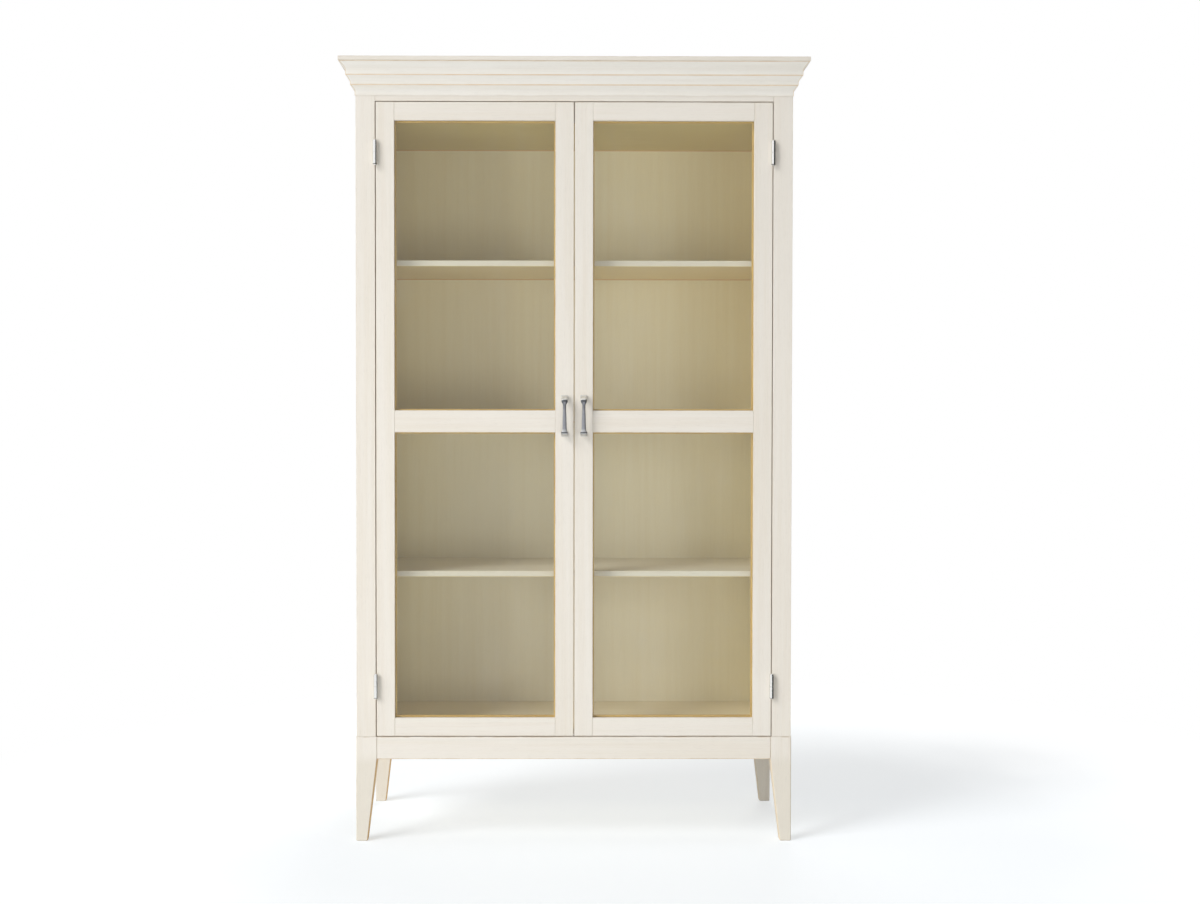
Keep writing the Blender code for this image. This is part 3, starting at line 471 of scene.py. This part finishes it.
# Colour along a handle, upwards from its middle, place and colour: painted highlights on the feet
# and painted shade under the flares and on the head, with some tarnish in its hollows; and the
# height of a painted highlight on the head
BRIGHT, SILVER, GREY = srgb(220, 219, 214), srgb(192, 193, 195), srgb(160, 161, 167)
DUSK, DARK = srgb(138, 140, 145), srgb(98, 100, 103)
HIGHLIGHT_RISE = 0.0325
PATINA_AND_SHADE = ((-0.0530, BRIGHT), (-0.0445, SILVER), (-0.0434, DARK), (-0.0416, DARK),
          (-0.0402, SILVER), (-0.0360, SILVER), (-0.0320, GREY), (0.0140, GREY),
          (0.0225, DUSK), (0.0290, DUSK), (0.0345, DARK), (0.0406, DARK), (0.0418, BRIGHT))


def cast_pewter():
    """Cast metal with painted light and shade: bright feet as painted highlight, a grey grip,
    dark bands as painted shade under the flares and on the head, partly tarnish in the hollows,
    and a painted highlight on the head.
    """
    finish = Finish("cast_pewter")
    low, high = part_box("left_door_handle")
    cast = finish.noise(finish.place, 700, 4, 0.65)
    blotches = finish.noise(finish.place, 160, 3)
    along = (finish.z - low.z) / (high.z - low.z) + 0.012 * (blotches - 0.5)
    stops = [(0.5 + place / (high.z - low.z), colour) for place, colour in PATINA_AND_SHADE]
    patina_and_shade = finish.add("ShaderNodeValToRGB", {"stops": stops}, {"Fac": along})
    centre_x, _, centre_z = centre_of("left_door_handle")
    off_axis = abs(abs(finish.x) - abs(centre_x))
    # Painted highlight: a lighter place in the middle of the dark head.
    highlight_spot = (finish.rise(off_axis, 0.0042, 0.0018)
            * finish.rise(abs(finish.z - centre_z - HIGHLIGHT_RISE), 0.0046, 0.0016))
    patina_and_shade = finish.mix(highlight_spot * 0.7, patina_and_shade, GREY)
    colour = finish.shade(patina_and_shade, 0.94 + 0.35 * (blotches - 0.5) + 0.15 * (cast - 0.5))
    return finish.principled({
        "Base Color": colour,
        "Metallic": 1.0,
        "Roughness": 0.36 + 0.22 * (cast - 0.5),
        "Normal": finish.bump(cast, 0.30, 0.0002)})


def zinc():
    """Plated steel of screws, strike plates and magnets."""
    finish = Finish("zinc_plate")
    mottle = finish.noise(finish.place, 900, 3)
    colour = finish.mix(finish.rise(mottle, 0.35, 0.65), srgb(196, 198, 200), srgb(158, 160, 164))
    return finish.principled({
        "Base Color": colour,
        "Metallic": 1.0,
        "Roughness": 0.34 + 0.25 * (mottle - 0.5),
        "Normal": finish.bump(mottle, 0.15, 0.0001)})


GLASS = clear_glass()
NICKEL = satin_nickel()
PEWTER = cast_pewter()
ZINC = zinc()

LEVEL_X = ("apron_front", "apron_rear", "frieze_rail", "cornice_front", "top_board",
           "floor_panel", "ceiling_panel", "door_stop_rail", "shelf_", "_rail")
LEVEL_Y = ("apron_left", "apron_right", "cornice_left", "cornice_right")
WASHES = {"floor_panel": FLOOR_WASH, "ceiling_panel": CEILING_SHADE_WASH, "back_panel": BACK_WASH,
          "shelf_": SHELF_WASH, "door_stop_rail": SHELF_WASH, "cornice_": CORNICE_LIGHT_WASH}
METAL = {"_leaf": NICKEL, "_hinge_pin": NICKEL, "_handle": PEWTER, "_magnet": ZINC,
         "_strike_plate": ZINC}


def finish_for(node, seed):
    """The finish of one CAD node."""
    for ending, metal in METAL.items():
        if node.endswith(ending):
            return metal
    if "_glass_" in node:
        return GLASS
    if "_glazing_bead_" in node:
        return bare_wood(node)
    along = "Z"
    if any(word in node for word in LEVEL_Y):
        along = "Y"
    elif any(word in node for word in LEVEL_X):
        along = "X"
    wear = BASE_WEAR if node.startswith(("leg_", "apron_")) else BODY_WEAR
    colours = [wash for word, wash in WASHES.items() if node.startswith(word)]
    return washed_wood(node, along, seed, wear, colours[0] if colours else CREAM)


for number, (node, solid) in enumerate(sorted(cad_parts.items())):
    material = finish_for(node, number)
    for slot in solid.material_slots:
        slot.material = material


# Pieces

def keep(name, mesh, body):
    """Link a finished mesh as a piece that rides on a body."""
    piece = bpy.data.objects.new(name, mesh)
    bpy.context.scene.collection.objects.link(piece)
    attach(piece, body)
    return piece


def smooth_by_angle(mesh):
    """Merge a mesh's doubles and shade it smooth except over its sharp edges."""
    work = bmesh.new()
    work.from_mesh(mesh)
    bmesh.ops.remove_doubles(work, verts=work.verts, dist=MERGE_DISTANCE)
    bmesh.ops.recalc_face_normals(work, faces=work.faces)
    for face in work.faces:
        face.smooth = True
    for edge in work.edges:
        edge.smooth = edge.calc_face_angle(0.0) < SHARP_ANGLE
    work.to_mesh(mesh)
    work.free()


def body_of(node):
    """Body that a node belongs to."""
    for side in SIDES:
        if node.startswith(side) and "_door_" in node:
            return side + "_door"
    return "cabinet"


def smooth_copy(node, material):
    """Stand a merged and smoothly shaded copy in for a CAD node."""
    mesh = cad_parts[node].data.copy()
    mesh.materials.clear()
    mesh.materials.append(material)
    smooth_by_angle(mesh)
    piece = keep(node + "_smooth", mesh, body_of(node))
    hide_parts(node)


def grown(name, group, base, inputs, body):
    """Run a Geometry Nodes tree on a base mesh and keep the plain result as a piece."""
    holder = bpy.data.objects.new(name + "_base", base)
    bpy.context.scene.collection.objects.link(holder)
    modifier = holder.modifiers.new("growth", "NODES")
    modifier.node_group = group
    sockets = {item.name: item.identifier for item in group.interface.items_tree
               if item.in_out == "INPUT"}
    for label, value in inputs.items():
        modifier[sockets[label]] = value
    evaluated = holder.evaluated_get(bpy.context.evaluated_depsgraph_get())
    mesh = bpy.data.meshes.new_from_object(evaluated)
    bpy.data.objects.remove(holder)
    smooth_by_angle(mesh)
    return keep(name, mesh, body)


def new_group(name, inputs):
    """A Geometry Nodes tree with named inputs, and its group input."""
    group = bpy.data.node_groups.new(name, "GeometryNodeTree")
    group.interface.new_socket("Base", in_out="INPUT", socket_type="NodeSocketGeometry")
    for label, kind in inputs:
        group.interface.new_socket(label, in_out="INPUT", socket_type="NodeSocket" + kind)
    group.interface.new_socket("Result", in_out="OUTPUT", socket_type="NodeSocketGeometry")
    tree = Tree(group)
    return tree, tree.add("NodeGroupInput")


def end_group(tree, geometry, material):
    """Make a tree's result real, give it its finish and lead it out."""
    real = tree.add("GeometryNodeRealizeInstances", None, {0: geometry})
    finished = tree.add("GeometryNodeSetMaterial", None, {0: real, "Material": material})
    tree.add("NodeGroupOutput", None, {0: finished})
    return tree.nodes


def screw_group():
    """A slotted screw at each point of a mesh, along the point's aim and at a chance turn."""
    tree, given = new_group("slotted_screws", (
        ("Head Top Radius", "Float"), ("Head Bottom Radius", "Float"), ("Head Height", "Float"),
        ("Head Base", "Float"), ("Shank Radius", "Float"), ("Shank Length", "Float"),
        ("Slot Width", "Float"), ("Slot Depth", "Float"), ("Finish", "Material")))

    def moved(geometry, x, y, z):
        place = tree.add("ShaderNodeCombineXYZ", None, {0: x, 1: y, 2: z})
        return tree.add("GeometryNodeTransform", None, {0: geometry, "Translation": place})

    height, base = given.other("Head Height"), given.other("Head Base")
    head = tree.add("GeometryNodeMeshCone", None, {
        "Vertices": 28, "Radius Top": given.other("Head Top Radius"),
        "Radius Bottom": given.other("Head Bottom Radius"), "Depth": height})
    slot_size = tree.add("ShaderNodeCombineXYZ", None, {
        0: given.other("Head Top Radius") * 2.4, 1: given.other("Slot Width"),
        2: given.other("Slot Depth") * 2})
    slot = tree.add("GeometryNodeMeshCube", None, {"Size": slot_size})
    cut = tree.add("GeometryNodeMeshBoolean", {"operation": "DIFFERENCE"},
                   {0: moved(head, 0.0, 0.0, base), 1: moved(slot, 0.0, 0.0, base + height)})
    length = given.other("Shank Length")
    shank = tree.add("GeometryNodeMeshCylinder", None, {
        "Vertices": 20, "Radius": given.other("Shank Radius"), "Depth": length})
    screw = tree.add("GeometryNodeJoinGeometry")
    for part in (cut, moved(shank, 0.0, 0.0, base - length * 0.5)):
        tree.nodes.links.new(part.socket, screw.socket.node.inputs[0])

    aim = tree.add("GeometryNodeInputNamedAttribute", {"data_type": "FLOAT_VECTOR"},
                   {"Name": "aim"})
    facing = tree.add("FunctionNodeAlignRotationToVector", {"axis": "Z"}, {"Vector": aim})
    angle = tree.add("FunctionNodeRandomValue", {"data_type": "FLOAT"},
                     {2: 0.0, 3: math.pi, "Seed": 7}, output=1)
    spin = tree.add("FunctionNodeAxisAngleToRotation", None,
                    {"Axis": (0, 0, 1), "Angle": angle})
    turned = tree.add("FunctionNodeRotateRotation", {"rotation_space": "LOCAL"},
                      {"Rotation": facing, "Rotate By": spin})
    placed = tree.add("GeometryNodeInstanceOnPoints", None,
                      {0: given, "Instance": screw, "Rotation": turned})
    return end_group(tree, placed, given.other("Finish"))


def points_mesh(points):
    """A mesh of (place, aim) points."""
    mesh = bpy.data.meshes.new("points")
    mesh.from_pydata([place for place, _ in points], [], [])
    aim = mesh.attributes.new("aim", "FLOAT_VECTOR", "POINT")
    for item, (_, direction) in zip(aim.data, points):
        item.vector = direction
    return mesh


SCREWS = screw_group()
COUNTERSUNK = {"Head Top Radius": 0.0031, "Head Bottom Radius": 0.0015, "Head Height": 0.0016,
               "Head Base": -0.0017, "Shank Radius": 0.0015, "Shank Length": 0.0110,
               "Slot Width": 0.0008, "Slot Depth": 0.0009, "Finish": ZINC}
PANEL_SCREW = dict(COUNTERSUNK, **{"Head Base": -0.0012})
HANDLE_BOLT = {"Head Top Radius": 0.0030, "Head Bottom Radius": 0.0038, "Head Height": 0.0015,
               "Head Base": 0.0, "Shank Radius": 0.0019, "Shank Length": 0.0280,
               "Slot Width": 0.0010, "Slot Depth": 0.0008, "Finish": ZINC}


def leaf_screws(side_name, side, hand):
    """Screws of one side's leaves: hand is 1 on the frame and -1 on the door."""
    points = []
    for level in ("lower", "upper"):
        axis_x, _, middle_z = centre_of(f"{side_name}_{level}_hinge_pin")
        x = axis_x + side * hand * LEAF_SCREW_OFFSET
        for shift in (-LEAF_SCREW_SPREAD, LEAF_SCREW_SPREAD):
            points.append(((x, FACE + LEAF_SCREW_DEPTH, middle_z + shift),
                           (-side * hand, 0, 0)))
    return points


for side_name, side in SIDES.items():
    door = side_name + "_door"
    grown(door + "_leaf_screws", SCREWS,
          points_mesh(leaf_screws(side_name, side, -1)), COUNTERSUNK, door)
    grown(side_name + "_frame_leaf_screws", SCREWS,
          points_mesh(leaf_screws(side_name, side, 1)), COUNTERSUNK, "cabinet")
    x, _, z = centre_of(door + "_strike_plate")
    plate = (x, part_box(door + "_strike_plate")[1].y, z)
    grown(door + "_strike_screw", SCREWS, points_mesh([(plate, (0, 1, 0))]),
          COUNTERSUNK, door)
    x, _, z = centre_of(door + "_handle")
    bolts = [((x, DOOR_BACK, z + shift), (0, 1, 0)) for shift in (-HANDLE_REACH, HANDLE_REACH)]
    grown(door + "_handle_bolts", SCREWS, points_mesh(bolts), HANDLE_BOLT, door)


def back_screws():
    """Screws through the back panel into the housed boards and the side panels."""
    _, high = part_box("back_panel")
    heights = [centre_of(board)[2] for board in (
        "floor_panel", "shelf_lower", "shelf_middle", "shelf_upper", "ceiling_panel")]
    points = [(high.x * share, z) for z in heights for share in PANEL_SCREW_SHARES]
    edge = high.x - PANEL_SCREW_INSET
    points += [(side * edge, (a + b) / 2) for side in SIDES.values()
               for a, b in zip(heights, heights[1:])]
    return [((x, high.y, z), (0, 1, 0)) for x, z in points]


grown("back_panel_screws", SCREWS, points_mesh(back_screws()), PANEL_SCREW, "cabinet")


# Cornice

def moulding_group():
    """A profile run along +Y, mitred at either end, then turned and moved to its corner."""
    tree, given = new_group("mitred_moulding", (
        ("Run Length", "Float"), ("Near Mitre", "Float"), ("Far Mitre", "Float"),
        ("Corner", "Vector"), ("Turn", "Float"), ("Finish", "Material")))
    length = given.other("Run Length")
    walls = tree.add("GeometryNodeExtrudeMesh", {"mode": "FACES"}, {
        "Mesh": given, "Offset": (0, 1, 0), "Offset Scale": length, "Individual": False})
    start = tree.add("GeometryNodeFlipFaces", None, {0: given})
    solid = tree.add("GeometryNodeJoinGeometry")
    for part in (walls, start):
        tree.nodes.links.new(part.socket, solid.socket.node.inputs[0])
    closed = tree.add("GeometryNodeMergeByDistance", None, {0: solid, "Distance": 0.00001})
    place = tree.add("ShaderNodeSeparateXYZ", None, {0: tree.add("GeometryNodeInputPosition")})
    near, far = given.other("Near Mitre"), given.other("Far Mitre")
    slide = place * (place.other("Y") / length * (near + far) - near)
    shift = tree.add("ShaderNodeCombineXYZ", None, {1: slide})
    mitred = tree.add("GeometryNodeSetPosition", None, {0: closed, "Offset": shift})
    turn = tree.add("ShaderNodeCombineXYZ", None, {2: given.other("Turn")})
    rotation = tree.add("FunctionNodeEulerToRotation", None, {0: turn})
    moved = tree.add("GeometryNodeTransform", None, {
        0: mitred, "Translation": given.other("Corner"), "Rotation": rotation})
    return end_group(tree, moved, given.other("Finish"))


def cornice_profile():
    """The moulding's outline as one face, with overhang along X."""
    z = CORNICE_TOP
    points = [Vector((FIT, z)), Vector((CORNICE_LIP, z))]
    for overhang, cove_height, step_height in CORNICE_STEPS:
        start, end = points[-1], Vector((overhang, z - cove_height))
        chord = end - start
        inward = Vector((chord.y, -chord.x)) * COVE_HOLLOW
        for step in range(1, COVE_POINTS + 1):
            share = step / COVE_POINTS
            points.append(start + chord * share + inward * 4 * share * (1 - share))
        z -= cove_height + step_height
        points.append(Vector((overhang, z)))
    points.append(Vector((FIT, z)))
    mesh = bpy.data.meshes.new("cornice_profile")
    mesh.from_pydata([(over, 0, height) for over, height in points], [],
                     [tuple(range(len(points)))])
    return mesh


MOULDING = moulding_group()
# Length, whether the near and the far end are mitred, corner and turn of each run
RUNS = {
    "cornice_front": (2 * HALF_WIDTH, 1.0, 1.0, (-HALF_WIDTH, FACE, 0), -math.pi / 2),
    "cornice_left": (BACK - FACE - 2 * FIT, 0.0, 1.0, (-HALF_WIDTH, BACK, 0), math.pi),
    "cornice_right": (BACK - FACE - 2 * FIT, 1.0, 0.0, (HALF_WIDTH, FACE + 2 * FIT, 0), 0.0)}
for node, (length, near, far, corner, turn) in RUNS.items():
    moulding = grown(node + "_moulding", MOULDING, cornice_profile(), {
        "Run Length": length, "Near Mitre": near, "Far Mitre": far, "Corner": corner,
        "Turn": turn, "Finish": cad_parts[node].material_slots[0].material},
        "cabinet")
    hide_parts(node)


# Smooth metalwork

for side_name in SIDES:
    smooth_copy(side_name + "_door_handle", PEWTER)
    for level in ("lower", "upper"):
        for part in ("frame_leaf", "door_leaf", "hinge_pin"):
            smooth_copy(f"{side_name}_{level}_{part}", NICKEL)


# Floor, lamps and camera

def seen(tree):
    """1 for the camera and for what metal and glass show, 0 for the light on the object."""
    path = tree.add("ShaderNodeLightPath")
    rays = path + path.other("Is Glossy Ray") + path.other("Is Transmission Ray")
    return rays.least(1.0)


def studio_floor():
    """Pale floor that keeps the object's shadow and goes over to white away from it."""
    finish = Finish("studio_floor")
    distance = finish.add("ShaderNodeVectorMath", {"operation": "DISTANCE"},
                          {0: finish.place, 1: SHADOW_MIDDLE}, output="Value")
    grain = finish.noise(finish.place, 3.0, 2)
    fade = finish.rise(distance + 0.3 * (grain - 0.5), *FADE)
    diffuse = finish.add("ShaderNodeBsdfDiffuse", None, {"Color": (0.865, 0.908, 0.945, 1.0)})
    pale = finish.mix(fade, (0.980, 0.993, 1.0, 1.0), (1.0, 1.0, 1.0, 1.0))
    white = finish.add("ShaderNodeEmission", None,
                       {"Color": pale, "Strength": SHINE - (SHINE - 1.0) * fade})
    share = seen(finish) * (SHINING_SHARE + (1.0 - SHINING_SHARE) * fade)
    material = finish.close(finish.add("ShaderNodeMixShader", None,
                                       {0: share, 1: diffuse, 2: white}))
    mesh = bpy.data.meshes.new("studio_floor")
    disc = bmesh.new()
    bmesh.ops.create_circle(disc, cap_ends=True, segments=96, radius=FLOOR_RADIUS)
    disc.to_mesh(mesh)
    disc.free()
    mesh.materials.append(material)
    floor = bpy.data.objects.new("studio_floor", mesh)
    bpy.context.scene.collection.objects.link(floor)


def studio_world(fill):
    """White to the eye, and an even fill on the object."""
    world = bpy.data.worlds.new("studio")
    world.use_nodes = True
    tree = Tree(world.node_tree)
    world.node_tree.nodes.clear()
    strength = fill + (1.0 - fill) * seen(tree)
    light = tree.add("ShaderNodeBackground", None,
                     {"Color": (1, 1, 1, 1), "Strength": strength})
    tree.add("ShaderNodeOutputWorld", None, {0: light})
    bpy.context.scene.world = world


def lamp(name, place, target, size, power):
    """A soft square lamp aimed at a point."""
    light = bpy.data.lights.new(name, "AREA")
    light.size = size
    light.energy = power
    holder = bpy.data.objects.new(name, light)
    holder.visible_camera = False
    holder.visible_glossy = False
    aim = (Vector(target) - Vector(place)).to_track_quat("-Z", "Y")
    holder.matrix_world = Matrix.Translation(place) @ aim.to_matrix().to_4x4()
    bpy.context.scene.collection.objects.link(holder)


def sun(azimuth, elevation, strength, spread):
    """A distant soft light; the angles say where it stands, in degrees from the front."""
    light = bpy.data.lights.new("key", "SUN")
    light.energy = strength
    light.angle = math.radians(spread)
    holder = bpy.data.objects.new("key", light)
    holder.rotation_euler = (math.radians(90 - elevation), 0, math.radians(azimuth))
    bpy.context.scene.collection.objects.link(holder)


def dark_card(name, corners):
    """A dark card out of view, which only metal and glass mirror, so that their edges read."""
    finish = Finish(name)
    finish.close(finish.add("ShaderNodeBsdfDiffuse", None, {"Color": (0.05, 0.05, 0.05, 1.0)}))
    mesh = bpy.data.meshes.new(name)
    mesh.from_pydata(corners, [], [(0, 1, 2, 3)])
    mesh.materials.append(finish.material)
    card = bpy.data.objects.new(name, mesh)
    card.visible_camera = False
    card.visible_diffuse = False
    card.visible_shadow = False
    card.visible_transmission = False
    bpy.context.scene.collection.objects.link(card)


def camera():
    """The photograph's viewpoint."""
    eye = bpy.data.cameras.new("camera")
    eye.sensor_width = 36.0
    eye.lens = CAMERA_LENS
    eye.shift_x, eye.shift_y = CAMERA_SHIFT
    holder = bpy.data.objects.new("camera", eye)
    holder.location = CAMERA_PLACE
    holder.rotation_euler = [math.radians(angle)
                             for angle in (90 - CAMERA_DIP, CAMERA_ROLL, CAMERA_TURN)]
    bpy.context.scene.collection.objects.link(holder)
    bpy.context.scene.camera = holder


studio_floor()
studio_world(0.23)
sun(-57, 37, 1.75, 28)
lamp("left_fill", (-2.7, -2.8, 1.4), (0.0, 0.0, 0.9), 0.9, 30.5)
lamp("front_fill", (0.1, -3.4, 0.35), (0.0, 0.0, 0.9), 1.4, 23)
lamp("right_fill", (3.4, 0.1, 0.35), (0.0, 0.1, 1.1), 0.6, 10)
lamp("back_fill", (0.6, 2.9, 2.5), (0.0, 0.5, 0.3), 1.6, 34)
dark_card("right_card", [(1.1, -3.5, 0.0), (3.0, 0.6, 0.0),
                         (3.0, 0.6, 3.5), (1.1, -3.5, 3.5)])
dark_card("low_card", [(1.0, -3.5, 0.01), (3.0, -3.5, 0.01),
                       (3.0, 0.6, 0.01), (0.8, 0.6, 0.01)])
camera()
bpy.context.scene.view_settings.view_transform = "Standard"
